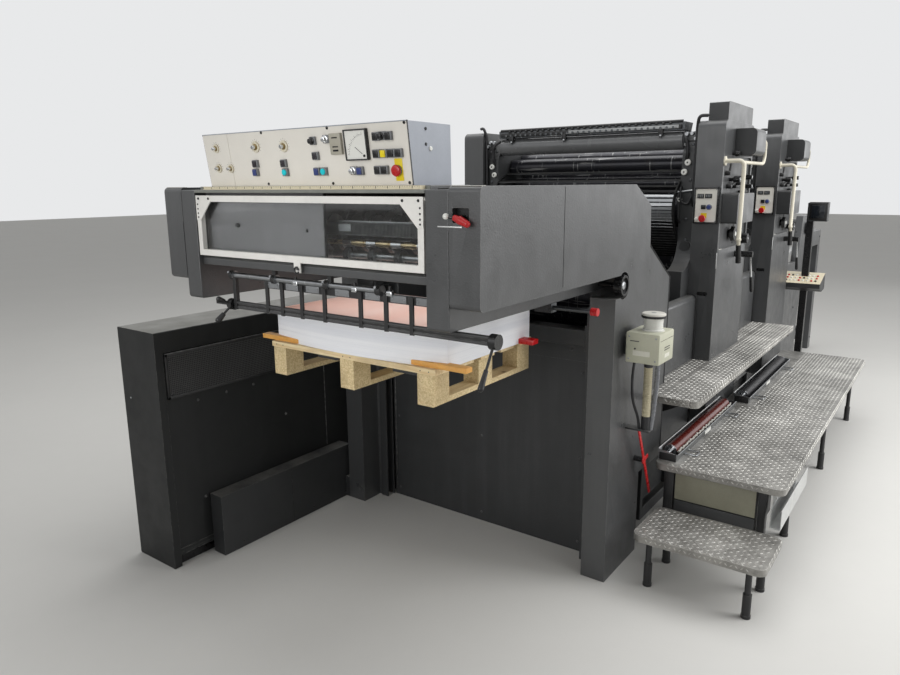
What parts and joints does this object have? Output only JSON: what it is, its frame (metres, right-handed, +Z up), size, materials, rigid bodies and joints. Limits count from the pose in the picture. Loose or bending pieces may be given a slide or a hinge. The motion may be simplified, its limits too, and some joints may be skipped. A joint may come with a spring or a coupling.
{
  "type": "offset printing press",
  "caption": "Sheet-fed offset printing press with delivery, printing units, platforms, control console and feeder.",
  "frame": {"origin": "floor level on the centre line, half way between the two printing units, on the underside of the bed", "axes": "+Y along the machine from the delivery towards the feeder, +X towards the operator side, +Z up"},
  "size_m": [2.6253, 6.725, 2.18],
  "materials": {
    "grey_paint": "satin hammered enamel",
    "dark_paint": "satin enamel",
    "white_paint": "gloss",
    "black_steel": "satin",
    "console_metal": "satin",
    "panel_plastic": "satin",
    "black_plastic": "satin",
    "roller_steel": "ground",
    "fountain_steel": "worn",
    "aluminium": "anodised",
    "chequer_plate": "worn chequer plate",
    "clear_pane": "clear",
    "roller_rubber": "satin",
    "pallet_wood": "sawn",
    "paper": "matt",
    "red_paint": "gloss"
  },
  "bodies": {
    "press": {"machine_bed": "dark_paint", "unit_side_frames": "dark_paint", "bed_side_covers": "grey_paint", "unit_1_towers": "grey_paint", "unit_2_towers": "grey_paint", "tower_boxes": "grey_paint", "tower_control_panels": "panel_plastic", "tower_knobs": "black_plastic", "grab_rails": "white_paint", "unit_1_rollers": "roller_steel", "unit_2_rollers": "roller_steel", "ink_fountains": "fountain_steel", "slat_guards": "black_steel", "unit_guards": "dark_paint", "delivery_side_frames": "dark_paint", "delivery_side_covers": "grey_paint", "delivery_back_panel": "dark_paint", "delivery_guide_frame": "dark_paint", "delivery_roof": "dark_paint", "delivery_front_rail": "dark_paint", "ruler_strip": "panel_plastic", "control_console": "console_metal", "console_panel": "panel_plastic", "console_controls": "black_plastic", "delivery_rollers": "roller_steel", "pile_stop_grille": "black_steel", "delivery_levers": "black_steel", "drive_cabinet": "dark_paint", "cabinet_cover_plates": "dark_paint", "lower_platform": "chequer_plate", "platform_stands": "black_steel", "upper_platform": "chequer_plate", "cable_tray": "aluminium", "step_stool": "chequer_plate", "roller_trays": "fountain_steel", "spare_rollers": "roller_rubber", "junction_box": "panel_plastic", "valve_handle": "red_paint", "feeder_frame": "grey_paint", "feed_board": "aluminium", "feeder_head": "dark_paint", "feeder_pile_table": "dark_paint", "feeder_desk": "dark_paint"},
    "front_guard": {"front_guard_frame": "aluminium", "front_guard_pane": "clear_pane"},
    "delivery_pile": {"pile_carrier": "dark_paint", "pallet_deck": "pallet_wood", "pallet_skids": "pallet_wood", "paper_pile": "paper"},
    "adjusting_wheel": {"handwheel": "black_plastic"},
    "lever_1": {"unit_1_lever": "black_steel"},
    "lever_2": {"unit_2_lever": "black_steel"}
  },
  "joints": [
    {"name": "guard_tilt", "type": "hinge", "parent": "press", "child": "front_guard", "pos_m": [0, -3.213, 1.716], "axis": [-1, 0, 0], "range_deg": [0, 75]},
    {"name": "pile_lift", "type": "slide", "parent": "press", "child": "delivery_pile", "axis": [0, 0, 1], "range_m": [-0.949, 0]},
    {"name": "wheel_turn", "type": "hinge", "parent": "press", "child": "adjusting_wheel", "pos_m": [0.784, -2.134, 1.339], "axis": [1, 0, 0], "continuous": true},
    {"name": "lever_1_swing", "type": "hinge", "parent": "press", "child": "lever_1", "pos_m": [0.835, -0.605, 1.352], "axis": [1, 0, 0], "range_deg": [-40, 30]},
    {"name": "lever_2_swing", "type": "hinge", "parent": "press", "child": "lever_2", "pos_m": [0.835, 0.745, 1.352], "axis": [1, 0, 0], "range_deg": [-40, 30]}
  ]
}
